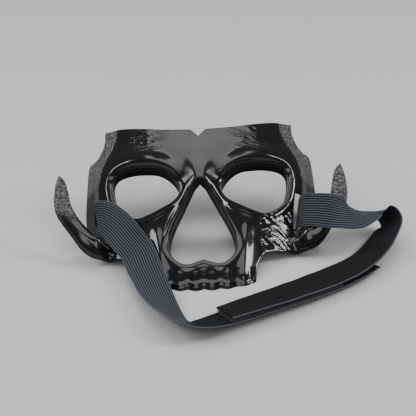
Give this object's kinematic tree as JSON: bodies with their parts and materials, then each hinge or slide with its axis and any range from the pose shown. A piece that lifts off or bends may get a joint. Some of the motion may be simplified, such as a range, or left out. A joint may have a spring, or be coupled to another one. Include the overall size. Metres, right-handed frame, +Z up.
{
  "type": "skull mask",
  "caption": "Glossy black moulded skull half mask with free cheek arch ends and two ribbed elastic straps joined by hook and loop tape.",
  "frame": {"origin": "on the level face under the teeth, at the middle line", "axes": "+X to the mask's left cheek as the wearer has it (right in front view), +Y back along the ground from teeth to forehead, +Z up"},
  "size_m": [0.2525, 0.1948, 0.0652],
  "materials": {
    "black_plastic": "high gloss moulded skull relief with fine cracks, stippled temples and arch ends",
    "elastic": "ribbed knitted elastic, matt, blue black",
    "loop_pile": "short loop pile tape, matt black",
    "hook_field": "woven tape with fine plastic hooks, black"
  },
  "bodies": {
    "root": {"skull_face": "black_plastic", "strap_right": "elastic", "strap_left": "elastic", "loop_tape": "loop_pile", "hook_tape": "hook_field"}
  },
  "joints": []
}
